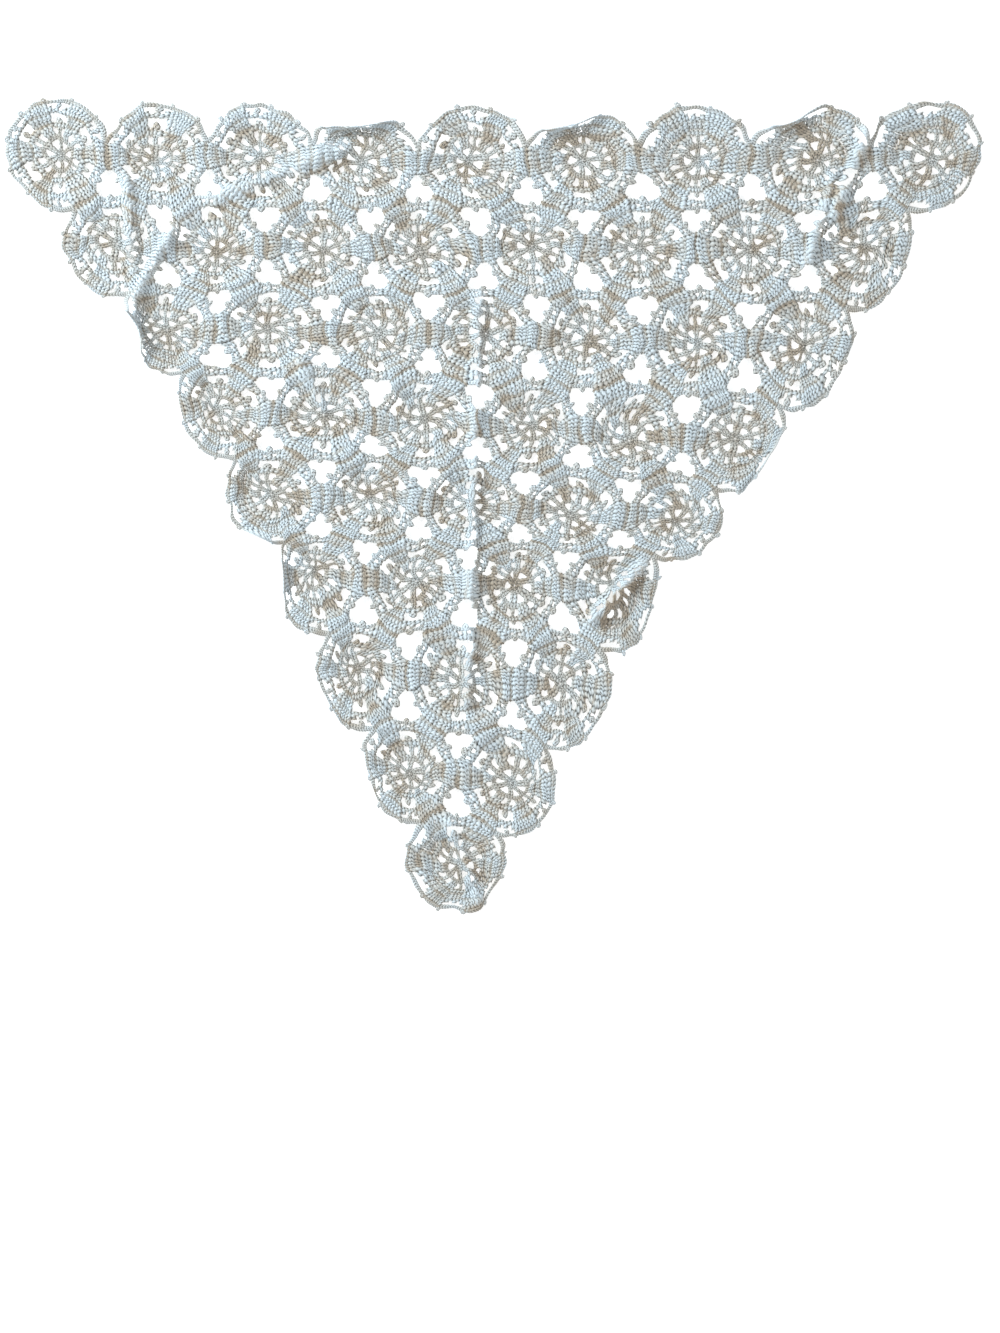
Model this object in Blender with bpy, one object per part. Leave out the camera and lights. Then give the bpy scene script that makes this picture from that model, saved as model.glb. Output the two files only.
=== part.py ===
"""Triangle shawl crocheted in cotton, laid out flat on a surface with its point towards -Y.

Forty-five hexagonal flower motifs stand in nine rows, nine along the top edge and one at the point.
Each motif is worked from its centre outwards, and is one closed wall here, cut right through where
the lace is open. Six fans of tall stitches run out along its six axes, and meet the fans of the next
motifs. Between the fans a chain arch carries a small picot, and a crescent gap lies inside the arch.
Three motifs enclose a star-shaped gap. Round the free edges a chain border bridges the gaps.

All sizes in this file are millimetres until they go into a mesh. The origin is on the surface, under
the middle of the shawl's box. X runs along the top edge, Y towards the top edge, Z up.
"""

import math
from collections import namedtuple

import bmesh
import bpy
import numpy as np
from mathutils import Vector

METRES_PER_MM = 0.001

# The whole: rows of motifs on a lattice, and the cloth they are made of
ROW_COUNT = 9
PITCH = 131.0
WALL = 3.0
SEAM_GAP = 0.3
COTTON = (0.78, 0.74, 0.65, 1.0)

# One fan, from the ring round the hub to the joint with the next motif: distance out, half width
FAN_ROWS = {
    "ring": (34.8, 7.8),
    "arch_inner": (51.6, 11.4),
    "arch_outer": (56.4, 12.6),
    "joint": (PITCH / 2, 17.4),
}
FREE_FAN_CROWN = 69.0

# One gap between two fans, along its own axis: distance out, half width
INNER_PICOT_TIP = 40.8
OUTER_PICOT_BASE = (55.8, 4.8)
OUTER_PICOT_TIP = 62.6
BORDER_SHOULDER = (68.4, 10.2)
BORDER_CROWN = 70.2

# How the rows lie: the first motif's centre, the step to the next one, how far the middle of a row
# of nine is moved by its bow, and the share of their full width that the slack end motifs keep
Row = namedtuple("Row", "left_x left_y step_x step_y bow_x bow_y left_ease right_ease")
ROWS = [
    Row(-521, 421, 130.6, -0.7, -29, -7, 0.91, 0.82),
    Row(-457, 307, 128.4, -0.4, -14, 0, 0.80, 0.86),
    Row(-393, 210, 127.2, -3.1, -2, 5, 0.82, 0.84),
    Row(-328, 112, 123.6, -7.9, 0, 7, 0.72, 0.88),
    Row(-269, 12, 121.2, -7.4, 0, 5, 0.80, 0.90),
    Row(-212, -88, 118.8, -4.2, 0, 0, 0.80, 0.74),
    Row(-165, -200, 124.2, -9.0, 0, 0, 0.76, 0.84),
    Row(-104, -317, 122.4, -16.8, 0, 0, 0.78, 0.82),
    Row(-43, -431, 124.8, -9.6, 0, 0, 0.90, 0.86),
]

# The top edge and the point aren't pulled taut either, so less of their height shows
TOP_EASE = 0.93
POINT_EASE = 0.86

# The fan joints stand a little off the surface, and the hubs rest on it
PUCKER_HEIGHT = 4.5
PUCKER_START = 0.62

# Ridges pressed up across the cloth: both ends of the crest, half width and height
Ridge = namedtuple("Ridge", "name x1 y1 x2 y2 half_width height")
RIDGES = [
    Ridge("centre_upper", -18, 245, -24, 40, 12, 8),
    Ridge("centre_lower", -24, 40, -32, -235, 12, 10),
    Ridge("left_shoulder", -335, 366, -185, 424, 18, 8),
    Ridge("left_first_seam", -440, 385, -432, 285, 13, 8),
    Ridge("left_second_seam", -386, 325, -436, 236, 12, 8),
    Ridge("right_shoulder", 455, 468, 408, 352, 14, 10),
    Ridge("right_third_row", 405, 390, 372, 280, 12, 8),
    Ridge("left_fourth_row", -232, 165, -204, 118, 12, 8),
    Ridge("bunched_edge", 172, -78, 122, -134, 13, 14),
    Ridge("point", -52, -385, -20, -470, 12, 8),
]

RIDGE_FADE = 1.5

# Free edges that have rolled up: a point on the line where the roll begins, the way it rolls out,
# the half length of the roll and its radius
Roll = namedtuple("Roll", "name x y outward_degrees half_length radius")
ROLLS = [
    Roll("third_row_left", -411, 194, 186, 56, 18),
    Roll("fourth_motif_top", -160, 440, 96, 78, 18),
    Roll("sixth_motif_top", 100, 444, 108, 72, 17),
    Roll("eighth_motif_top", 370, 452, 122, 56, 18),
    Roll("fourth_row_right", 322, 62, -30, 60, 17),
    Roll("sixth_row_left", -244, -84, 186, 60, 16),
]

# Where the flat cloth is creased so that it can fold: lines along each ridge, in half widths off its
# crest, and along each roll, in radii past its start. A face further off than the margin has none.
RIDGE_CREASES = (-1, 0, 1)
ROLL_CREASES = (0.0, 0.6, 1.2, 1.8)
CREASE_MARGIN = 10.0
SAME_POINT = 0.05

# Motifs whose free edge is rolled or bunched, so that their outer crescents are shut: (row, column)
SHUT_MOTIFS = {(0, 3), (0, 5), (0, 6), (0, 7), (0, 8), (2, 0), (4, 0), (3, 5), (5, 3), (8, 0)}


def motif_places():
    """Row and column of every motif, from the top left to the point."""
    return [(row, column) for row in range(ROW_COUNT) for column in range(ROW_COUNT - row)]


def has_motif(row, column):
    return 0 <= row < ROW_COUNT and 0 <= column < ROW_COUNT - row


def neighbours(row, column):
    """Whether a motif lies next to each of the six fans, the first towards +X, then anticlockwise."""
    steps = ((0, 1), (-1, 1), (-1, 0), (0, -1), (1, -1), (1, 0))
    return [has_motif(row + down, column + along) for down, along in steps]


def polar(centre, angle, out, across):
    """A point of the flat chart, out along an axis through the centre and across it to the left."""
    cosine, sine = math.cos(angle), math.sin(angle)
    return (centre[0] + out * cosine - across * sine, centre[1] + out * sine + across * cosine)


def motif_chart(row, column):
    """Points and faces of one motif on the flat chart, where all motifs are regular."""
    centre = ((column + row / 2) * PITCH, -row * PITCH * math.sqrt(3) / 2)
    joined = neighbours(row, column)
    points, faces, index = [], [], {}

    def add(key, angle, out, across=0.0):
        index[key] = len(points)
        points.append(polar(centre, angle, out, across))

    for fan in range(6):
        axis = math.radians(60 * fan)
        for name, (out, half_width) in FAN_ROWS.items():
            if name == "joint":
                out -= SEAM_GAP / 2
            add((name, fan, -1), axis, out, -half_width)
            add((name, fan, 1), axis, out, half_width)
        if not joined[fan]:
            add(("crown", fan), axis, FREE_FAN_CROWN)

        gap_axis = math.radians(60 * fan + 30)
        add(("inner_tip", fan), gap_axis, INNER_PICOT_TIP)
        if joined[fan] and joined[(fan + 1) % 6]:
            add(("picot", fan, -1), gap_axis, OUTER_PICOT_BASE[0], -OUTER_PICOT_BASE[1])
            add(("picot", fan, 0), gap_axis, OUTER_PICOT_TIP)
            add(("picot", fan, 1), gap_axis, OUTER_PICOT_BASE[0], OUTER_PICOT_BASE[1])
        else:
            add(("border", fan, -1), gap_axis, BORDER_SHOULDER[0], -BORDER_SHOULDER[1])
            add(("border", fan, 0), gap_axis, BORDER_CROWN)
            add(("border", fan, 1), gap_axis, BORDER_SHOULDER[0], BORDER_SHOULDER[1])

    def face(*keys):
        faces.append([index[key] for key in keys])

    hub = []
    for fan in range(6):
        hub += [("ring", fan, -1), ("ring", fan, 1), ("inner_tip", fan)]
    face(*hub)

    for fan in range(6):
        names = list(FAN_ROWS)
        for inner, outer in zip(names, names[1:]):
            top = [(outer, fan, 1), (outer, fan, -1)]
            if outer == "joint" and not joined[fan]:
                top.insert(1, ("crown", fan))
            face((inner, fan, -1), *reversed(top), (inner, fan, 1))

        after = (fan + 1) % 6
        if joined[fan] and joined[after]:
            face(("arch_inner", fan, 1), ("arch_outer", fan, 1), ("picot", fan, -1), ("picot", fan, 0),
                 ("picot", fan, 1), ("arch_outer", after, -1), ("arch_inner", after, -1))
        else:
            face(("arch_inner", fan, 1), ("arch_outer", fan, 1), ("joint", fan, 1),
                 ("border", fan, -1), ("border", fan, 0), ("border", fan, 1),
                 ("joint", after, -1), ("arch_outer", after, -1), ("arch_inner", after, -1))
            if (row, column) in SHUT_MOTIFS:
                face(("ring", fan, 1), ("arch_inner", fan, 1), ("arch_inner", after, -1),
                     ("ring", after, -1), ("inner_tip", fan))
    return np.array(points), faces


def lay_out(chart):
    """Flat chart to the cloth as it lies, still flat: the rows' table, with free edges eased in."""
    down = -chart[:, 1] / (PITCH * math.sqrt(3) / 2)
    along = chart[:, 0] / PITCH - down / 2
    last = ROW_COUNT - 1
    down = np.where(down < 0, down * TOP_EASE, down)
    down = np.where(down > last, last + (down - last) * POINT_EASE, down)
    row = Row(*[np.interp(down, np.arange(ROW_COUNT), column) for column in zip(*ROWS)])
    width = last - down
    along = np.where(along < 0, along * row.left_ease, along)
    along = np.where(along > width, width + (along - width) * row.right_ease, along)
    bow = np.maximum(along * (width - along), 0) / (last / 2) ** 2
    above, below = np.minimum(down, 0), np.maximum(down - last, 0)
    x = row.left_x + along * row.step_x + bow * row.bow_x
    y = row.left_y + along * row.step_y + bow * row.bow_y
    x += above * (ROWS[1].left_x - ROWS[0].left_x) + below * (ROWS[-1].left_x - ROWS[-2].left_x)
    y += above * (ROWS[1].left_y - ROWS[0].left_y) + below * (ROWS[-1].left_y - ROWS[-2].left_y)
    return np.column_stack((x, y))


def pucker(chart):
    """Height of the cloth's underside off the surface: nothing round each hub, most at the joints."""
    wave = 4 * math.pi / (math.sqrt(3) * PITCH)
    directions = np.radians((30, 90, 150))
    waves = [np.cos(wave * (chart[:, 0] * math.cos(a) + chart[:, 1] * math.sin(a))) for a in directions]
    least = -1 / 3
    away_from_hub = (1 - sum(waves) / 3) / (1 - least)
    rise = np.clip((away_from_hub - PUCKER_START) / (1 - PUCKER_START), 0, 1)
    return PUCKER_HEIGHT * rise * rise * (3 - 2 * rise)


def frame_points(points, x, y, direction_x, direction_y):
    """How far points lie along a direction from (x, y), and how far to its left."""
    dx, dy = points[:, 0] - x, points[:, 1] - y
    return dx * direction_x + dy * direction_y, dy * direction_x - dx * direction_y


def ridge_frame(ridge, points):
    """Distances along and across a ridge's crest, and the crest's length."""
    length = math.hypot(ridge.x2 - ridge.x1, ridge.y2 - ridge.y1)
    along, across = frame_points(points, ridge.x1, ridge.y1,
                                 (ridge.x2 - ridge.x1) / length, (ridge.y2 - ridge.y1) / length)
    return along, across, length


def ridge_lift(points):
    """Height that the ridges add: a cosine bump across each crest, fading out past its ends."""
    lift = np.zeros(len(points))
    for ridge in RIDGES:
        along, across, length = ridge_frame(ridge, points)
        past_end = np.maximum(np.maximum(-along, along - length), 0) / (RIDGE_FADE * ridge.half_width)
        bump = np.cos(np.clip(np.abs(across) / ridge.half_width, 0, 1) * math.pi / 2) ** 2
        fade = np.cos(np.clip(past_end, 0, 1) * math.pi / 2) ** 2
        lift = np.maximum(lift, ridge.height * bump * fade)
    return lift


def outward(roll):
    angle = math.radians(roll.outward_degrees)
    return math.cos(angle), math.sin(angle)


def roll_up(points, height):
    """Bends the cloth upwards past each roll's line; the bend is tightest at the roll's middle."""
    plan = points.copy()
    for roll in ROLLS:
        out_x, out_y = outward(roll)
        beyond, along = frame_points(points, roll.x, roll.y, out_x, out_y)
        bend = np.cos(np.clip(np.abs(along) / roll.half_length, 0, 1) * math.pi / 2) / roll.radius
        rolled = (beyond > 0) & (bend > 1e-6)
        radius = 1 / np.where(rolled, bend, 1)
        angle = beyond / radius
        reach = np.where(rolled, (radius - height) * np.sin(angle), beyond)
        plan += (reach - beyond)[:, None] * (out_x, out_y)
        height = np.where(rolled, radius - (radius - height) * np.cos(angle), height)
    return np.column_stack((plan, height))


def crease(bm, point, normal, is_near):
    """Cuts the faces that is_near picks along the line through a point, square to normal."""
    faces = [f for f in bm.faces if is_near(np.array([f.calc_center_median()[:2]]))]
    edges = {e for f in faces for e in f.edges}
    verts = {v for f in faces for v in f.verts}
    bmesh.ops.bisect_plane(bm, geom=[*verts, *edges, *faces], dist=SAME_POINT,
                           plane_co=(*point, 0), plane_no=(*normal, 0))


def crease_folds(bm):
    """Creases the flat sheet along the ridges and the rolls."""
    for ridge in RIDGES:
        across = Vector((ridge.y1 - ridge.y2, ridge.x2 - ridge.x1)).normalized()

        def near_crest(point):
            along, away, length = ridge_frame(ridge, point)
            half_width = ridge.half_width
            return abs(away[0]) < half_width + CREASE_MARGIN and -half_width < along[0] < length + half_width

        for side in RIDGE_CREASES:
            crease(bm, Vector((ridge.x1, ridge.y1)) + across * side * ridge.half_width, across, near_crest)

    for roll in ROLLS:
        out = Vector(outward(roll))

        def near_roll(point):
            beyond, along = frame_points(point, roll.x, roll.y, *outward(roll))
            return beyond[0] > -CREASE_MARGIN and abs(along[0]) < roll.half_length

        for turn in ROLL_CREASES:
            crease(bm, Vector((roll.x, roll.y)) + out * turn * roll.radius, out, near_roll)


def make_sheet(row, column):
    """The motif as a flat triangulated sheet: chart points, laid-out points, triangles and rim."""
    chart, faces = motif_chart(row, column)
    laid = lay_out(chart)
    bm = bmesh.new()
    layer = bm.verts.layers.float_vector.new("chart")
    verts = []
    for (x, y), (u, v) in zip(laid, chart):
        vert = bm.verts.new((x, y, 0))
        vert[layer] = (u, v, 0)
        verts.append(vert)
    for corners in faces:
        bm.faces.new([verts[i] for i in corners])
    crease_folds(bm)
    bmesh.ops.triangulate(bm, faces=bm.faces[:])
    bmesh.ops.recalc_face_normals(bm, faces=bm.faces[:])
    if bm.faces[0].normal.z < 0:
        bmesh.ops.reverse_faces(bm, faces=bm.faces[:])
    bm.verts.index_update()
    laid = np.array([(v.co.x, v.co.y) for v in bm.verts])
    chart = np.array([tuple(v[layer])[:2] for v in bm.verts])
    triangles = np.array([[v.index for v in f.verts] for f in bm.faces])
    rim = [(loop.vert.index, loop.link_loop_next.vert.index)
           for f in bm.faces for loop in f.loops if len(loop.edge.link_faces) == 1]
    bm.free()
    return chart, laid, triangles, rim


def fold_layers(chart, laid):
    """The sheet's underside and face after folding, one below the other."""
    underside = pucker(chart) + ridge_lift(laid)
    return np.vstack([roll_up(laid, underside + height) for height in (0.0, WALL)])


def shawl_middle(sheets):
    """Middle of the whole shawl's box, in plan, before it is moved onto the origin."""
    plan = np.vstack([fold_layers(chart, laid)[:, :2] for chart, laid, triangles, rim in sheets])
    return (plan.min(axis=0) + plan.max(axis=0)) / 2


def make_wall(sheet, middle):
    """Closes one motif's folded sheet into a wall: vertices in metres, and triangles."""
    chart, laid, triangles, rim = sheet
    vertices = fold_layers(chart, laid)
    vertices[:, :2] -= middle
    count = len(laid)
    faces = [tuple(t) for t in triangles + count]
    faces += [tuple(t) for t in triangles[:, ::-1]]
    faces += [(a, b, b + count) for a, b in rim]
    faces += [(a, b + count, a + count) for a, b in rim]
    return vertices * METRES_PER_MM, faces


def make_material(name):
    material = bpy.data.materials.new(name)
    material.use_nodes = True
    shader = material.node_tree.nodes["Principled BSDF"]
    shader.inputs["Base Color"].default_value = COTTON
    shader.inputs["Roughness"].default_value = 0.9
    shader.inputs["Metallic"].default_value = 0.0
    return material


def make_motif(row, column, sheet, middle):
    name = f"motif_{row + 1}_{column + 1}"
    vertices, faces = make_wall(sheet, middle)
    mesh = bpy.data.meshes.new(name)
    mesh.from_pydata(vertices.tolist(), [], faces)
    mesh.materials.append(make_material(f"cotton_{name}"))
    bpy.context.collection.objects.link(bpy.data.objects.new(name, mesh))


def main():
    for old in list(bpy.data.objects):
        bpy.data.objects.remove(old)
    places = motif_places()
    sheets = [make_sheet(row, column) for row, column in places]
    middle = shawl_middle(sheets)
    print("middle of the shawl's box, mm:", middle.round(2))
    for (row, column), sheet in zip(places, sheets):
        make_motif(row, column, sheet, middle)


main()
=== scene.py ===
import math

import bpy
import numpy as np
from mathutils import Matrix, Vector


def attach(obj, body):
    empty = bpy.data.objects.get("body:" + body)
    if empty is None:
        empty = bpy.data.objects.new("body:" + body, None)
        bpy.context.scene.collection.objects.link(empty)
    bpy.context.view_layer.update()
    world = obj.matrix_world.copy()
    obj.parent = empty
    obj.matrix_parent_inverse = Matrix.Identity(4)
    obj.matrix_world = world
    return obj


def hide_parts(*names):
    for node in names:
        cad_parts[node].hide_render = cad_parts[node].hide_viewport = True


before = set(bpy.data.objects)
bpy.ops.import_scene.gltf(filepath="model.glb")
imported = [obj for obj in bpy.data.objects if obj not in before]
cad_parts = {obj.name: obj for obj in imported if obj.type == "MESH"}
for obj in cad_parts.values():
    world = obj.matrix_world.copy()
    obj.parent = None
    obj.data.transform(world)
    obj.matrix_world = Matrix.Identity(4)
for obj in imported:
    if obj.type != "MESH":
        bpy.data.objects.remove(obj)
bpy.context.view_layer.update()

# A crocheted cotton shawl of 45 hexagonal flower motifs, laid flat. Every stitch is worked out in
# millimetres on a flat chart (u to the right, v up, w off the cloth's underside) where all motifs are
# regular, and is then carried by layCloth() to where the cloth really lies, folds and rolls.

cloth = {
    "rows": 9,             # motifs along the top edge, one fewer in each row below
    "pitch": 131.0,        # across one motif, joint to joint
    "topEase": 0.93,       # how much of its height the slack top edge shows
    "pointEase": 0.86,
    "pucker": 4.5,         # how far the joints stand off the floor
    "puckerStart": 0.62,
    "ridgeFade": 1.5,      # a ridge fades past its ends over this many half widths
    "ripple": 1.6,         # height of the small waves that no table lists
    "drift": 2.6,          # how far the hand work wanders from the regular chart, over 150 mm
    "fineDrift": 2.2,      # and over 60 mm
    "tinyDrift": 1.5,      # and over 24 mm
    "hubShift": 4.0,       # how far a hub sits off its motif's middle
    "hubTwist": 18.0,      # degrees by which it has turned
    "hubStretch": 0.15,    # and by what share it is pulled long or wide
    "middleX": -1.7,
    "middleY": -1.69,
}

# How each row lies: first hub, step to the next, bow of a full row, slack of the end motifs
rowColumns = ("leftX", "leftY", "stepX", "stepY", "bowX", "bowY", "leftEase", "rightEase")
rowTable = np.array([
    (-521, 421, 130.6, -0.7, -29, -7, 0.91, 0.82),
    (-457, 307, 128.4, -0.4, -14, 0, 0.80, 0.86),
    (-393, 210, 127.2, -3.1, -2, 5, 0.82, 0.84),
    (-328, 112, 123.6, -7.9, 0, 7, 0.72, 0.88),
    (-269, 12, 121.2, -7.4, 0, 5, 0.80, 0.90),
    (-212, -88, 118.8, -4.2, 0, 0, 0.80, 0.74),
    (-165, -200, 124.2, -9.0, 0, 0, 0.76, 0.84),
    (-104, -317, 122.4, -16.8, 0, 0, 0.78, 0.82),
    (-43, -431, 124.8, -9.6, 0, 0, 0.90, 0.86),
])

# Ridges: both ends of the crest, half width, height
ridgeTable = {
    "centreUpper": (-18, 245, -24, 40, 12, 8),
    "centreLower": (-24, 40, -32, -235, 12, 10),
    "leftShoulder": (-335, 366, -185, 424, 18, 8),
    "leftFirstSeam": (-440, 385, -432, 285, 13, 8),
    "leftSecondSeam": (-386, 325, -436, 236, 12, 8),
    "rightShoulder": (455, 468, 408, 352, 14, 10),
    "rightThirdRow": (405, 390, 372, 280, 12, 8),
    "leftFourthRow": (-232, 165, -204, 118, 12, 8),
    "bunchedEdge": (172, -78, 122, -134, 13, 14),
    "point": (-52, -385, -20, -470, 12, 8),
}

# Rolled free edges: a point where the roll starts, its outward direction, half length, radius
rollTable = {
    "thirdRowLeft": (-411, 194, 186, 56, 18),
    "fourthMotifTop": (-160, 440, 96, 78, 18),
    "sixthMotifTop": (100, 444, 108, 72, 17),
    "eighthMotifTop": (370, 452, 122, 56, 18),
    "fourthRowRight": (322, 62, -30, 60, 17),
    "sixthRowLeft": (-244, -84, 186, 60, 16),
}

# Motifs whose free-edge crescents are shut, as in the CAD model: row and place in it, both from 0. In
# some of them the real cloth has a few of these open
shutMotifs = {(0, 3), (0, 5), (0, 6), (0, 7), (0, 8), (2, 0), (4, 0), (3, 5), (5, 3), (8, 0)}

# Painted shade along the creases, as dark or warm lines: both ends, half width, strength
creaseShadeTable = (
    (407, 379, 419, 325, 9, 0.7),
    (-461, 439, -460, 403, 8, 0.6),
    (79, 434, 153, 444, 9, 0.6),
    (363, 457, 387, 427, 10, 0.7),
    (300, 60, 318, 64, 7, 0.8),
    (177, -91, 139, -116, 8, 0.9),
    (139, -116, 131, -149, 8, 0.9),
    (-47, -414, -15, -444, 7, 0.7),
    (0, -65, 2, -233, 10, 0.5),
    (-330, 352, -180, 410, 8, 0.4),
)

yarn = {
    "base": 2.4,           # height of the strands' middle over the underside
    "beadLength": 3.7,     # the worked yarn swells once in this length, and a speck of painted shade lies between
    "pointsPerBead": 2,
    "pinch": 0.13,         # how much narrower a strand is between two swellings
    "dip": 0.30,           # and how much lower
    "sway": 0.8,           # sideways zigzag of a tall stitch
    "cover": 1.17,         # a tall stitch is this much wider than its share of the fan
    "shade": 0.50,         # how much deeper the painted light falls off between two swellings, as painted shade
    "raisedLight": 0.45,   # how much more painted light the strands get where the cloth stands up
    "raisedCool": 0.25,    # and how much cooler they are painted there, as light
}

# Sections of a strand, corner by corner: across and up as shares of its half width and half height,
# millimetres ahead along it, and how open to the light the corner is painted
stitchSection = np.array([(1, 0, 0.9, 0.40), (0, 1, 0, 1.0), (-1, 0, -0.9, 0.40), (0, -0.5, 0, 0.9)])
chainSection = np.array([(1, 0, -0.5, 0.40), (0.55, 0.95, 0.7, 0.85), (0, 0.5, -0.8, 0.30),
                         (-0.55, 0.95, 0.7, 0.85), (-1, 0, -0.5, 0.40), (0, -0.5, 0, 0.8)])

# The fans: distance out at the bottom and top of each round, half widths there, stitches
fanRounds = (
    {"bottom": 19.6, "top": 35.8, "bottomHalf": 4.2, "topHalf": 8.2, "stitches": 3},
    {"bottom": 34.8, "top": 50.2, "bottomHalf": 8.8, "topHalf": 14.4, "stitches": 5},
    {"bottom": 49.2, "top": 64.8, "bottomHalf": 14.2, "topHalf": 18.6, "stitches": 7},
)


def smoothStep(t):
    # 3t^2 - 2t^3 between 0 and 1
    t = np.clip(t, 0, 1)
    return t * t * (3 - 2 * t)


def cosineBump(t):
    # cos^2 of a quarter turn: 1 at 0, 0 at 1 and past it
    return np.cos(np.clip(t, 0, 1) * math.pi / 2) ** 2


def wander(x, y, length, seed):
    # a soft uneven wave between about -1 and 1: six sines of nearby lengths in scattered directions
    rng = np.random.default_rng(seed)
    total = np.zeros_like(x)
    for turn in rng.permutation(6):
        angle = math.pi * (turn + rng.uniform(-0.3, 0.3)) / 6
        wave = 2 * math.pi / (length * rng.uniform(0.75, 1.4))
        total += np.sin(wave * (x * math.cos(angle) + y * math.sin(angle)) + rng.uniform(0, 2 * math.pi))
    return total / 3


def layOut(u, v):
    # the chart's row number, as a fraction, looks up where that row lies; along it the place is a step
    # times the motif number plus a bow, and past the end hubs both are shortened by the slack
    down = -v / (cloth["pitch"] * math.sqrt(3) / 2)
    along = u / cloth["pitch"] - down / 2
    last = cloth["rows"] - 1
    down = np.where(down < 0, down * cloth["topEase"], down)
    down = np.where(down > last, last + (down - last) * cloth["pointEase"], down)
    row = {name: np.interp(down, np.arange(cloth["rows"]), rowTable[:, i])
           for i, name in enumerate(rowColumns)}
    width = last - down
    along = np.where(along < 0, along * row["leftEase"], along)
    along = np.where(along > width, width + (along - width) * row["rightEase"], along)
    bow = np.maximum(along * (width - along), 0) / (last / 2) ** 2
    above, below = np.minimum(down, 0), np.maximum(down - last, 0)
    x = row["leftX"] + along * row["stepX"] + bow * row["bowX"]
    y = row["leftY"] + along * row["stepY"] + bow * row["bowY"]
    x += above * (rowTable[1, 0] - rowTable[0, 0]) + below * (rowTable[-1, 0] - rowTable[-2, 0])
    y += above * (rowTable[1, 1] - rowTable[0, 1]) + below * (rowTable[-1, 1] - rowTable[-2, 1])
    return x, y


def ridgeLift(x, y):
    # the highest of the ridges here: each is cos^2 across its line and fades past its ends
    lift = np.zeros_like(x)
    for x1, y1, x2, y2, halfWidth, height in ridgeTable.values():
        lift = np.maximum(lift, height * lineBump(x, y, x1, y1, x2, y2, halfWidth, cloth["ridgeFade"]))
    return lift


def lineBump(x, y, x1, y1, x2, y2, halfWidth, fade):
    # 1 on the line between two points, cos^2 to 0 at half a width beside it and fade widths past it
    length = math.hypot(x2 - x1, y2 - y1)
    dx, dy = (x2 - x1) / length, (y2 - y1) / length
    along = (x - x1) * dx + (y - y1) * dy
    across = (y - y1) * dx - (x - x1) * dy
    pastEnd = np.maximum(np.maximum(-along, along - length), 0) / (fade * halfWidth)
    return cosineBump(np.abs(across) / halfWidth) * cosineBump(pastEnd)


def underside(u, v, x, y):
    # height of the cloth's underside: a hexagonal wave that is 0 at hubs and most at the joints, plus
    # the ridges, plus a small uneven ripple
    wave = 4 * math.pi / (math.sqrt(3) * cloth["pitch"])
    waves = sum(np.cos(wave * (u * math.cos(a) + v * math.sin(a))) for a in np.radians((30, 90, 150)))
    offHub = (1 - waves / 3) * 0.75
    pucker = cloth["pucker"] * smoothStep((offHub - cloth["puckerStart"]) / (1 - cloth["puckerStart"]))
    ripple = cloth["ripple"] * (0.5 + 0.5 * np.clip(wander(x, y, 62, 3), -1, 1)) * smoothStep(offHub * 2.5)
    return pucker + ridgeLift(x, y) + ripple


def castAndPaintedLightAt(x, y, low):
    # the warm (0) or cool (1) cast of the cloth at a place: two sizes of uneven patches, with painted
    # cool light where it stands high or faces up and left, and painted warm shade along the creases
    facing = ridgeLift(x + 3, y - 3) - ridgeLift(x - 3, y + 3)
    high = np.clip(low - 2.5, -2, 3)
    castAndPaintedLight = 0.53 + 0.19 * wander(x, y, 50, 21) + 0.14 * wander(x, y, 26, 22) + 0.05 * high + 0.02 * facing
    # painted shade along each crease
    for x1, y1, x2, y2, halfWidth, strength in creaseShadeTable:
        castAndPaintedLight = castAndPaintedLight - strength * lineBump(x, y, x1, y1, x2, y2, halfWidth, 1.2)
    return castAndPaintedLight


def rollUp(x, y, z):
    # past each roll's start the cloth goes round a circle; the bend is tightest at the roll's middle
    for startX, startY, degrees, halfLength, radius in rollTable.values():
        outX, outY = math.cos(math.radians(degrees)), math.sin(math.radians(degrees))
        beyond = (x - startX) * outX + (y - startY) * outY
        along = (y - startY) * outX - (x - startX) * outY
        bend = np.cos(np.clip(np.abs(along) / halfLength, 0, 1) * math.pi / 2) / radius
        rolled = (beyond > 0) & (bend > 1e-6)
        bendRadius = 1 / np.where(rolled, bend, 1)
        angle = beyond / bendRadius
        reach = np.where(rolled, (bendRadius - z) * np.sin(angle), beyond) - beyond
        z = np.where(rolled, bendRadius - (bendRadius - z) * np.cos(angle), z)
        x, y = x + reach * outX, y + reach * outY
    return x, y, z


def layCloth(points):
    # chart millimetres to world metres, with the cast of the cloth and its painted light and shade at
    # each place, and how far it stands up into the light, from 0 below 8 mm to 1 above 17 mm
    u, v, w = points[:, 0], points[:, 1], points[:, 2]
    x, y = layOut(u, v)
    shiftX, shiftY = (sum(cloth[name] * wander(x, y, length, seed + axis)
                          for name, length, seed in (("drift", 150, 11), ("fineDrift", 60, 13),
                                                     ("tinyDrift", 24, 15))) for axis in (0, 1))
    x, y = x + shiftX, y + shiftY
    low = underside(u, v, x, y)
    castAndPaintedLight = castAndPaintedLightAt(x, y, low)
    x, y, z = rollUp(x, y, low + w)
    raised = smoothStep((z - 8) / 9)
    return np.column_stack((x - cloth["middleX"], y - cloth["middleY"], z)) * 0.001, castAndPaintedLight, raised


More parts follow.
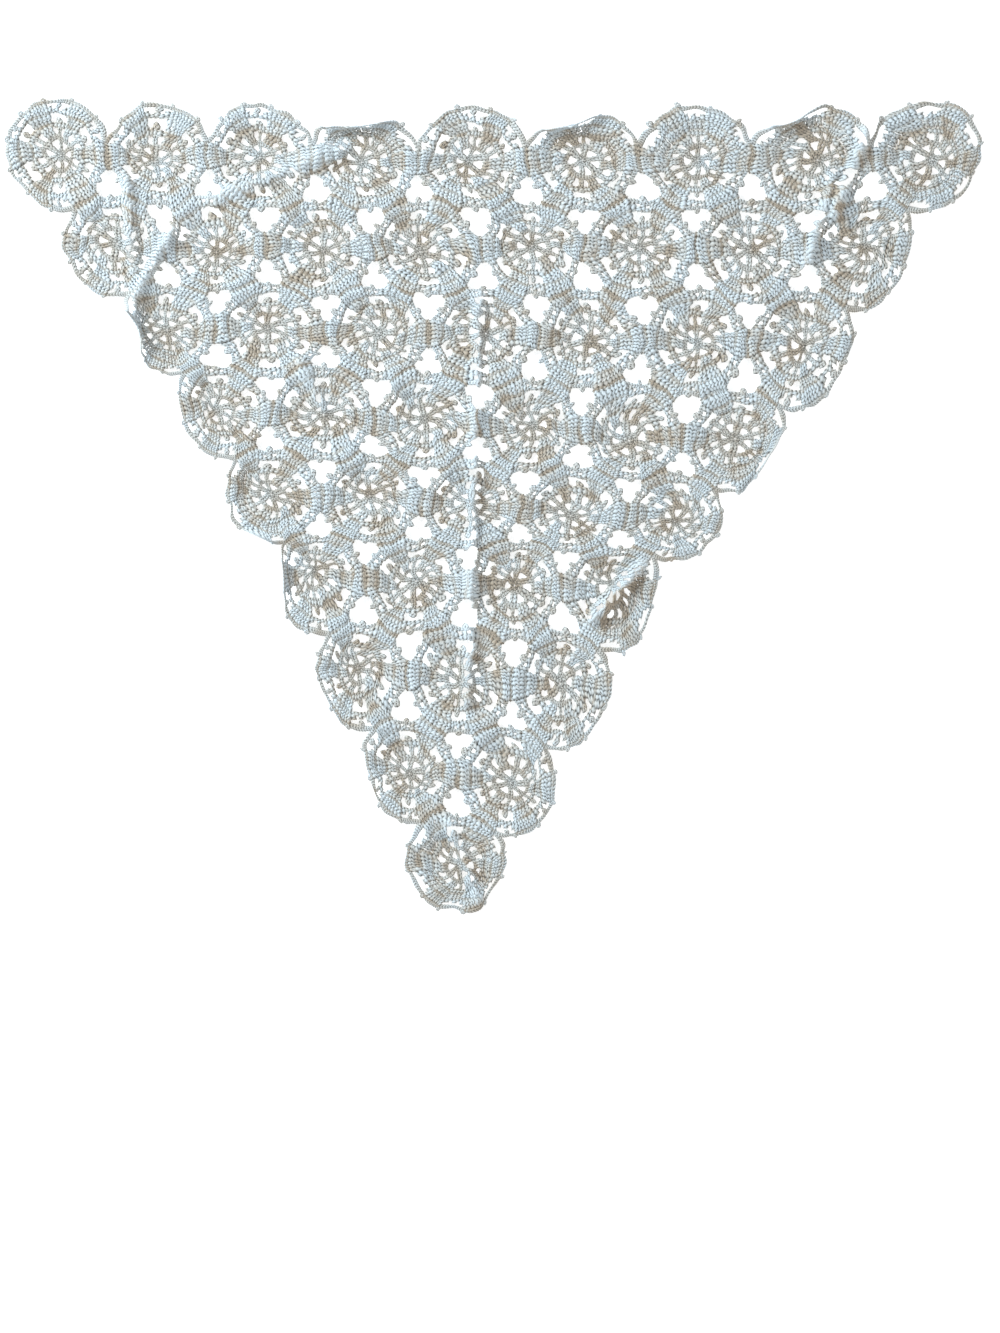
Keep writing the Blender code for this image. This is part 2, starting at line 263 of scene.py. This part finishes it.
def workStrand(path, halfWidth, halfHeight, section, closed=False, sway=0.0, taper=1.0):
    # carries a section along each path (strand, point, uvw): it swells and rises by a cosine once a
    # bead, and sways by a sine once in two; an open one narrows to the taper at its ends. Returns
    # corners, quads facing out, (turns round, mm along) for each corner of each quad, and how open to the
    # light each corner is painted: painted light on the swellings, painted shade between them
    count, points, _ = path.shape
    sides = len(section)
    bead = np.cos(2 * math.pi * np.arange(points) / yarn["pointsPerBead"])
    if closed:
        tangent = np.roll(path, -1, 1) - np.roll(path, 1, 1)
    else:
        tangent = np.gradient(path, axis=1)
    tangent = tangent / np.linalg.norm(tangent, axis=2, keepdims=True)
    side = np.cross(tangent, (0.0, 0.0, 1.0))
    side /= np.maximum(np.linalg.norm(side, axis=2, keepdims=True), 1e-9)
    rise = np.cross(side, tangent)
    swing = sway * np.sin(math.pi * np.arange(points) / yarn["pointsPerBead"])
    middle = path + swing[None, :, None] * side
    tip = np.ones(points)
    if not closed:
        tip[[0, -1]] = taper
    width = np.broadcast_to(halfWidth, (count, points)) * (1 + yarn["pinch"] * bead) * tip
    height = np.broadcast_to(halfHeight, (count, points)) * (1 + yarn["dip"] * bead) * tip
    across, up, ahead, light = section.T
    corners = (middle[:, :, None] + (width[:, :, None] * across)[..., None] * side[:, :, None]
               + (height[:, :, None] * up)[..., None] * rise[:, :, None]
               + ahead[:, None] * tangent[:, :, None])
    # painted light on each swelling and painted shade at each pinch between two
    paintedLight = np.broadcast_to(light + yarn["shade"] * bead[:, None], (count, points, sides))
    index = np.arange(count * points * sides).reshape(count, points, sides)
    step = np.linalg.norm(np.roll(path, -1, 1) - path, axis=2)
    distance = np.concatenate((np.zeros((count, 1)), np.cumsum(step, axis=1)), axis=1)
    last = points if closed else points - 1
    near, far = index[:, :last], np.roll(index, -1, 1)[:, :last]
    quads = np.stack((near, far, np.roll(far, -1, 2), np.roll(near, -1, 2)), axis=3).reshape(-1, 4)
    here = np.broadcast_to(np.arange(sides) / sides, near.shape)
    there = here + 1 / sides
    start = np.broadcast_to(distance[:, :last, None], near.shape)
    end = np.broadcast_to(distance[:, 1:last + 1, None], near.shape)
    wraps = np.stack((np.stack((here, start), 3), np.stack((here, end), 3),
                      np.stack((there, end), 3), np.stack((there, start), 3)), axis=3).reshape(-1, 4, 2)
    if not closed:
        starts, ends = index[:, 0], index[:, -1, ::-1]
        caps = np.concatenate([ring[:, [0, k, k + 1, k + 2]] for ring in (starts, ends)
                               for k in range(1, sides - 2, 2)])
        quads = np.concatenate((quads, caps))
        wraps = np.concatenate((wraps, np.zeros((len(caps), 4, 2))))
    return corners.reshape(-1, 3), quads, wraps, paintedLight.ravel()


def spread(ends, points):
    # a smooth curve of equal steps through three points (n, 3, uvw): the parabola that they lie on
    t = np.linspace(0, 1, points)[None, :, None]
    first, middle, last = ends[:, None, 0], ends[:, None, 1], ends[:, None, 2]
    return first * (1 - t) * (1 - 2 * t) + middle * 4 * t * (1 - t) + last * t * (2 * t - 1)


def turned(points, angles, centre):
    # copies of points (n, ..., uvw) turned by each angle about the hub and moved to it
    copies = []
    for angle in angles:
        c, s = math.cos(angle), math.sin(angle)
        out, across = points[..., 0], points[..., 1]
        copies.append(np.stack((centre[0] + out * c - across * s, centre[1] + out * s + across * c,
                                points[..., 2]), axis=-1))
    return np.concatenate(copies)


def loosen(points, centre, rng):
    # the hub of a hand-worked motif is off its middle and a little turned; both die away by the
    # second arch
    dx, dy = points[:, 0] - centre[0], points[:, 1] - centre[1]
    share = 1 - smoothStep((np.hypot(dx, dy) - 12) / 42)
    angle = math.radians(cloth["hubTwist"]) * rng.uniform(-1, 1) * share
    c, s = np.cos(angle), np.sin(angle)
    shift = cloth["hubShift"] * rng.uniform(-1, 1, 2)
    stretch = 1 + cloth["hubStretch"] * rng.uniform(-1, 1, 2)[:, None] * share
    u = centre[0] + (dx * c - dy * s) * stretch[0] + shift[0] * share
    v = centre[1] + (dx * s + dy * c) * stretch[1] + shift[1] * share
    return np.column_stack((u, v, points[:, 2]))


def hasMotif(row, column):
    return 0 <= row < cloth["rows"] and 0 <= column < cloth["rows"] - row


def joinedFans(row, column):
    # whether a motif lies next to each fan, the first towards the right, then anticlockwise
    steps = ((0, 1), (-1, 1), (-1, 0), (0, -1), (1, -1), (1, 0))
    return [hasMotif(row + down, column + along) for down, along in steps]


def pointsFor(length):
    # points along a strand of this length: a whole number of beads
    return max(2, round(length / yarn["beadLength"])) * yarn["pointsPerBead"]


def motifStrands(row, column):
    # every strand of one motif on the flat chart, as batches of (corners, quads, wraps, painted light, tones
    # with painted shade)
    rng = np.random.default_rng(100 * row + column)
    centre = ((column + row / 2) * cloth["pitch"], -row * cloth["pitch"] * math.sqrt(3) / 2)
    joined = np.array(joinedFans(row, column))
    fanAngles = np.radians(60 * np.arange(6))
    gapAngles = fanAngles + math.radians(30)
    joinedGaps = joined & np.roll(joined, -1)
    base = yarn["base"]
    batches = []

    def keep(path, halfWidth, halfHeight, section, closed=False, paintedShadeAndTone=0.0, sway=0.0, taper=1.0):
        corners, quads, wraps, paintedLight = workStrand(path, halfWidth, halfHeight, section, closed, sway,
                                                   taper)
        paintedShadesAndTones = np.broadcast_to(paintedShadeAndTone, path.shape[:2])
        batches.append((corners, quads, wraps, paintedLight, np.repeat(paintedShadesAndTones.ravel(), len(section))))

    def chain(out, across, middle, angles, halfWidth, loose=0.0, paintedShadeAndTone=0.0):
        # over each angle, along the parabola through (out, -across), (middle, 0) and (out, across)
        ends = turned(np.array([[(out, -across, base), (middle, 0, base), (out, across, base)]]),
                      angles, centre)
        ends[:, 1, :2] += rng.normal(0, 1, (len(angles), 2)) * loose
        length = 2 * math.hypot(across, middle - out)
        keep(spread(ends, pointsFor(length) + 1), halfWidth, 1.3, chainSection, paintedShadeAndTone=paintedShadeAndTone, taper=0.4)

    def band(inner, outer, angles, reach, paintedShadeAndTone=0.0, cover=1.2):
        # a row of short stitches between two parabolas, each through (out, -across), (middle, 0) and
        # (out, across); reach is the share of the way that each stitch goes, cover how much wider it
        # is than its share of the row
        count = len(reach)
        foot, head = (spread(turned(np.array([[(out, -across, base), (middle, 0, base), (out, across, base)]]),
                                    angles, centre), count) for out, across, middle in (inner, outer))
        head = foot + (head - foot) * np.array(reach)[:, None]
        foot, head = foot.reshape(-1, 1, 3), head.reshape(-1, 1, 3)
        t = np.linspace(0, 1, pointsFor(outer[2] - inner[2]) + 1)
        path = foot * (1 - t)[:, None] + head * t[:, None] + rng.normal(0, 0.25, (len(foot), 1, 3))
        path[:, :, 2] += 0.8 * np.sin(math.pi * t)
        share = np.interp(t, (0, 1), (inner[1], outer[1])) / (count - 1)
        # painted light in the middle of each short stitch and painted shade at its ends
        paintedShadeAndTone = paintedShadeAndTone + rng.normal(0, 0.05, (len(foot), 1)) + 0.3 * np.sin(math.pi * t) - 0.2
        keep(path, share * cover, 1.35, stitchSection, paintedShadeAndTone=paintedShadeAndTone, sway=0.4)

    def posts(inner, outer, angles, apart, halfWidth, paintedShadeAndTone=0.0):
        # a pair of stitches out along each angle, with their distance off it and their half width at
        # both ends
        t = np.linspace(0, 1, pointsFor(outer - inner) + 1)
        for side in (-1, 1):
            path = np.column_stack((inner + (outer - inner) * t, side * np.interp(t, (0, 1), apart),
                                    base + 0 * t))
            paths = turned(path[None], angles, centre)
            paths = paths + rng.normal(0, 0.4, (len(angles), 1, 3)) * np.sin(math.pi * t)[:, None]
            keep(paths, np.interp(t, (0, 1), halfWidth), 1.3, stitchSection, paintedShadeAndTone=paintedShadeAndTone, sway=0.4)

    def loops(out, across, reach, angles, halfWidth, loose=0.9):
        # a round picot at each angle
        turn = np.arange(8) / 8 * 2 * math.pi
        ring = np.column_stack((out + reach * np.cos(turn), across + 0.85 * reach * np.sin(turn),
                                base + 0.6 + 0 * turn))
        rings = turned(ring[None], angles, centre)
        rings[:, :, :2] += rng.normal(0, 1, (len(angles), 1, 2)) * loose
        keep(rings, halfWidth, 1.3, stitchSection, closed=True, paintedShadeAndTone=-0.12)

    # six fans of three rounds; a tall stitch stands highest in its middle and is painted lightest there, as
    # light, with painted shade at its ends and on the chain over each round
    fanTones = rng.normal(0, 0.15, (6, 3)) + rng.normal(0, 0.08, (6, 1))
    for fan in range(6):
        for number, fanRound in enumerate(fanRounds):
            count = fanRound["stitches"]
            place = (np.arange(count) - (count - 1) / 2) / count * 2
            crown = 0 if joined[fan] or number < 2 else 2.6
            top = fanRound["top"] + crown * (1 - place ** 2)
            foot = np.column_stack((np.full(count, fanRound["bottom"]), place * fanRound["bottomHalf"],
                                    np.full(count, base - 0.3)))
            head = np.column_stack((top, place * fanRound["topHalf"], np.full(count, base - 0.3)))
            foot, head = (turned(p, [fanAngles[fan]], centre) for p in (foot, head))
            t = np.linspace(0, 1, pointsFor(fanRound["top"] - fanRound["bottom"]) + 1)
            path = foot[:, None] * (1 - t)[:, None] + head[:, None] * t[:, None]
            path = path + rng.normal(0, 0.4, (count, 1, 3)) * np.sin(math.pi * t)[:, None]
            path[:, :, 2] += (1.9 + 2.5 * fanTones[fan, number]) * np.sin(math.pi * t)
            share = (fanRound["bottomHalf"] * (1 - t) + fanRound["topHalf"] * t) / count
            # painted light in the middle of each tall stitch, painted shade at its ends and on the chain over
            # the round
            paintedShadeAndTone = fanTones[fan, number] + 0.50 * np.sin(math.pi * t) - 0.32
            paintedShadeAndTone = paintedShadeAndTone + rng.normal(0, 0.05, (count, 1))
            keep(path, share * yarn["cover"], 1.4, stitchSection, paintedShadeAndTone=paintedShadeAndTone, sway=yarn["sway"])
            chain(fanRound["top"], fanRound["topHalf"], fanRound["top"] + crown, fanAngles[fan:fan + 1],
                  1.5, paintedShadeAndTone=fanTones[fan, number] - (0.45 if number == 2 else 0.3))

    # hub: a small ring, six spokes, the chain ring, and a stem between two small holes
    for radius, halfWidth in ((2.9, 2.0), (6.8, 2.2), (20.2, 2.7)):
        turn = np.linspace(0, 2 * math.pi, pointsFor(2 * math.pi * radius), endpoint=False)
        ring = np.column_stack((centre[0] + radius * np.cos(turn), centre[1] + radius * np.sin(turn),
                                np.full(len(turn), base)))
        keep(ring[None], halfWidth, 1.3, chainSection, closed=True, paintedShadeAndTone=-0.05)
    posts(7.0, 19.0, gapAngles, (1.3, 2.4), (1.7, 2.5), paintedShadeAndTone=-0.05)
    posts(21.0, 32.0, gapAngles, (0.9, 1.5), (1.5, 1.8))

    # the arch over each stem with its picot, then the second arch with another one; at a shut gap a row
    # of stitches fills the crescent between the arches, and there are no picots
    shutGaps = ~joinedGaps if (row, column) in shutMotifs else np.zeros(6, dtype=bool)
    band((30.6, 8.8, 31.0), (36.8, 10.8, 38.4), gapAngles, np.ones(5))
    loops(40.0, 0, 2.3, gapAngles[~shutGaps], 2.4)
    if shutGaps.any():
        band((38.0, 9.6, 39.4), (48.4, 12.6, 49.6), gapAngles[shutGaps], np.ones(5), cover=0.95)
    band((47.8, 14.2, 49.0), (59.6, 16.6, 57.2), gapAngles, (1.0, 1.0, 0.5, 1.0, 0.5, 1.0, 1.0))
    loops(61.5, 0, 2.3, gapAngles[~shutGaps], 2.4)
    if joinedGaps.any():
        chain(61.4, 17.6, 58.6, gapAngles[joinedGaps], 2.4, loose=0.5)

    # free edges: the border chain bridges the gaps and goes round the fans' crowns, with a picot at
    # each corner
    if not joinedGaps.all():
        chain(64.8, 17.8, 67.4, gapAngles[~joinedGaps], 3.2, loose=0.8, paintedShadeAndTone=-0.15)
    if not joined.all():
        chain(65.4, 17.0, 68.6, fanAngles[~joined], 2.8, loose=0.6, paintedShadeAndTone=-0.1)
        for across in (-17.8, 17.8):
            loops(68.4, across, 2.0, fanAngles[~joined], 1.8, loose=0.6)
    return batches


def linear(code):
    # sRGB hex to linear colour
    parts = [int(code[i:i + 2], 16) / 255 for i in (1, 3, 5)]
    return (*[c / 12.92 if c <= 0.04045 else ((c + 0.055) / 1.055) ** 2.4 for c in parts], 1.0)


def addNode(tree, kind, settings=None, **links):
    # adds a node; settings go to its properties or inputs, links to its inputs
    node = tree.nodes.new(kind)
    for name, value in (settings or {}).items():
        if isinstance(name, int) or name in node.inputs:
            node.inputs[name].default_value = value
        else:
            setattr(node, name, value)
    for name, source in links.items():
        socket = node.inputs[int(name[1:])] if name[1:].isdigit() else node.inputs[name.replace("_", " ")]
        tree.links.new(source, socket)
    return node


cottonYarn = {
    "low": "#C4B9A7",      # painted warm shade where the cloth lies low; the ecru looks warm there
    "middle": "#DEE1DC",
    "high": "#DFEBEF",     # painted cool light where it stands up into the light
    "paintedShade": "#64635C",   # painted shade between two stitches: what is left of the light there
    "roughness": 0.88,
    "plies": 2,            # drawn with fewer and coarser plies than the real four, so that they show
    "plyLength": 9.0,      # mm for one ply to go once round the strand
    "plyShade": 0.20,      # how much darker the grooves between plies are painted, as shade in them
}


def spunCotton():
    # undyed four-ply cotton, softly twisted: matte, painted warm as shade where it lies low and painted a cool
    # white as light where it stands up, with painted shade between the stitches, and with the slant of the
    # plies along every strand
    material = bpy.data.materials.new("spun_cotton_ecru")
    material.use_nodes = True
    tree = material.node_tree
    shader = tree.nodes["Principled BSDF"]
    paintedLight = addNode(tree, "ShaderNodeAttribute", {"attribute_name": "paintedLight"})
    toneAndPaintedLight = addNode(tree, "ShaderNodeAttribute", {"attribute_name": "toneAndPaintedLight"})
    place = addNode(tree, "ShaderNodeTexCoord")
    mottle = addNode(tree, "ShaderNodeTexNoise", {"Scale": 90.0, "Detail": 3.0}, Vector=place.outputs["Object"])
    uneven = addNode(tree, "ShaderNodeMath", {"operation": "MULTIPLY_ADD", 1: 0.6, 2: -0.3},
                     i0=mottle.outputs["Fac"])
    paintedShadeAndTone = addNode(tree, "ShaderNodeMath", {"operation": "ADD"}, i0=toneAndPaintedLight.outputs["Fac"],
                   i1=uneven.outputs[0])
    ramp = addNode(tree, "ShaderNodeValToRGB", Fac=paintedShadeAndTone.outputs[0])
    ramp.color_ramp.elements[0].position = 0.12
    ramp.color_ramp.elements[0].color = linear(cottonYarn["low"])
    ramp.color_ramp.elements[1].position = 0.88
    ramp.color_ramp.elements[1].color = linear(cottonYarn["high"])
    middle = ramp.color_ramp.elements.new(0.5)
    middle.color = linear(cottonYarn["middle"])
    wrap = addNode(tree, "ShaderNodeUVMap", {"uv_map": "yarn"})
    slant = addNode(tree, "ShaderNodeMapping",
                    {"Scale": (cottonYarn["plies"], cottonYarn["plies"] / cottonYarn["plyLength"], 1.0)},
                    Vector=wrap.outputs["UV"])
    plies = addNode(tree, "ShaderNodeTexWave", {"bands_direction": "DIAGONAL", "Scale": 0.6283,
                                                "Distortion": 0.6, "Detail": 1.0, "Detail Scale": 1.5},
                    Vector=slant.outputs["Vector"])
    # painted shade in the grooves between plies
    grooveShade = addNode(tree, "ShaderNodeMath", {"operation": "MULTIPLY_ADD", 1: cottonYarn["plyShade"],
                                              2: -cottonYarn["plyShade"]}, i0=plies.outputs["Fac"])
    paintedLightLevel = addNode(tree, "ShaderNodeMath", {"operation": "ADD"}, i0=paintedLight.outputs["Fac"],
                    i1=grooveShade.outputs[0])
    light = addNode(tree, "ShaderNodeMapRange", {"From Min": 0.0, "From Max": 0.6}, Value=paintedLightLevel.outputs[0])
    # painted shade: the colour goes towards the dark shade colour where the painted light is low
    colour = addNode(tree, "ShaderNodeMix", {"data_type": "RGBA", "blend_type": "MIX"},
                     i0=light.outputs["Result"])
    colour.inputs[6].default_value = linear(cottonYarn["paintedShade"])
    tree.links.new(ramp.outputs["Color"], colour.inputs[7])
    tree.links.new(colour.outputs[2], shader.inputs["Base Color"])
    shader.inputs["Roughness"].default_value = cottonYarn["roughness"]
    shader.inputs["Specular IOR Level"].default_value = 0.25
    shader.inputs["Sheen Weight"].default_value = 0.15
    bump = addNode(tree, "ShaderNodeBump", {"Strength": 0.6, "Distance": 0.0005},
                   Height=plies.outputs["Fac"])
    tree.links.new(bump.outputs["Normal"], shader.inputs["Normal"])
    return material


def quadMesh(name, corners, quads, wraps, shades):
    # a mesh from arrays, smooth shaded, with the yarn's own UV map and an attribute for each shade
    mesh = bpy.data.meshes.new(name)
    mesh.vertices.add(len(corners))
    mesh.vertices.foreach_set("co", corners.astype(np.float32).ravel())
    mesh.loops.add(quads.size)
    mesh.loops.foreach_set("vertex_index", quads.astype(np.int32).ravel())
    mesh.polygons.add(len(quads))
    mesh.polygons.foreach_set("loop_start", np.arange(0, quads.size, 4, dtype=np.int32))
    mesh.polygons.foreach_set("loop_total", np.full(len(quads), 4, dtype=np.int32))
    mesh.polygons.foreach_set("use_smooth", np.ones(len(quads), dtype=bool))
    layer = mesh.uv_layers.new(name="yarn")
    layer.data.foreach_set("uv", wraps.astype(np.float32).ravel())
    for title, values in shades.items():
        shade = mesh.attributes.new(title, "FLOAT", "POINT")
        shade.data.foreach_set("value", values.astype(np.float32))
    mesh.update(calc_edges=True)
    mesh.validate()
    return mesh


def crochetMotif(row, column, material):
    # one motif: joins its strands, loosens its hub and lays it with the cloth
    batches = motifStrands(row, column)
    sizes = [len(batch[0]) for batch in batches]
    offsets = np.concatenate(([0], np.cumsum(sizes)[:-1]))
    chart = np.concatenate([batch[0] for batch in batches])
    quads = np.concatenate([batch[1] + offset for batch, offset in zip(batches, offsets)])
    wraps, paintedLight, paintedShadesAndTones = (np.concatenate([batch[k] for batch in batches]) for k in (2, 3, 4))
    centre = ((column + row / 2) * cloth["pitch"], -row * cloth["pitch"] * math.sqrt(3) / 2)
    chart = loosen(chart, centre, np.random.default_rng(1000 + 10 * row + column))
    corners, castAndPaintedLight, raised = layCloth(chart)
    name = f"crochet_{row + 1}_{column + 1}"
    # painted light: a strand is painted lighter and cooler where the cloth stands up
    shades = {"paintedLight": np.clip(paintedLight + yarn["raisedLight"] * raised, 0, 1),
              "toneAndPaintedLight": np.clip(castAndPaintedLight + paintedShadesAndTones + yarn["raisedCool"] * raised, 0, 1)}
    mesh = quadMesh(name, corners, quads, wraps, shades)
    mesh.materials.append(material)
    piece = bpy.data.objects.new(name, mesh)
    bpy.context.collection.objects.link(piece)
    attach(piece, "root")
    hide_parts(f"motif_{row + 1}_{column + 1}")
    return len(quads) * 2


studio = {
    "floor": "#FAFAFA",
    "floorSize": 6.0,
    "cameraHeight": 3.2,
    "frameCentre": (0.009, -0.1926),   # what the middle of the picture looks at
    "frameHeight": 1.5996,             # metres from the picture's bottom to its top
    "sensor": 36.0,
}


def setStudio():
    # a pale floor, a camera straight above it, and soft light mostly from the upper left
    half = studio["floorSize"] / 2
    mesh = bpy.data.meshes.new("floor")
    mesh.from_pydata([(-half, -half, 0), (half, -half, 0), (half, half, 0), (-half, half, 0)], [],
                     [(0, 1, 2, 3)])
    floor = bpy.data.objects.new("floor", mesh)
    bpy.context.collection.objects.link(floor)
    paint = bpy.data.materials.new("matt_painted_floor")
    paint.use_nodes = True
    shader = paint.node_tree.nodes["Principled BSDF"]
    shader.inputs["Base Color"].default_value = linear(studio["floor"])
    shader.inputs["Roughness"].default_value = 0.9
    shader.inputs["Emission Color"].default_value = linear("#FFFFFF")
    shader.inputs["Emission Strength"].default_value = 0.5
    mesh.materials.append(paint)

    camera = bpy.data.cameras.new("camera")
    camera.sensor_width = studio["sensor"]
    camera.lens = studio["sensor"] * studio["cameraHeight"] / studio["frameHeight"]
    camera.dof.use_dof = False
    view = bpy.data.objects.new("camera", camera)
    view.location = (*studio["frameCentre"], studio["cameraHeight"])
    bpy.context.collection.objects.link(view)
    bpy.context.scene.camera = view

    for name, place, size, power, colour in (
            ("window", (-3.0, 1.7, 2.2), 1.8, 170.0, "#EEF6FC"),
            ("reflector", (2.0, -1.2, 1.6), 2.0, 12.0, "#FFE9CF")):
        light = bpy.data.lights.new(name, "AREA")
        light.size = size
        light.energy = power
        light.color = linear(colour)[:3]
        lamp = bpy.data.objects.new(name, light)
        lamp.location = place
        aim = np.array(studio["frameCentre"] + (0.0,)) - np.array(place)
        lamp.rotation_mode = "QUATERNION"
        lamp.rotation_quaternion = Vector(aim).to_track_quat("-Z", "Y")
        bpy.context.collection.objects.link(lamp)

    world = bpy.data.worlds.new("studio")
    world.use_nodes = True
    world.node_tree.nodes["Background"].inputs["Color"].default_value = linear("#F4F8FF")
    world.node_tree.nodes["Background"].inputs["Strength"].default_value = 0.55
    bpy.context.scene.world = world
    bpy.context.scene.view_settings.view_transform = "Standard"


print("studio")
setStudio()
print("yarn")
cotton = spunCotton()
triangles = 0
for row in range(cloth["rows"]):
    for column in range(cloth["rows"] - row):
        triangles += crochetMotif(row, column, cotton)
    print("row", row + 1, "worked,", triangles, "triangles so far")
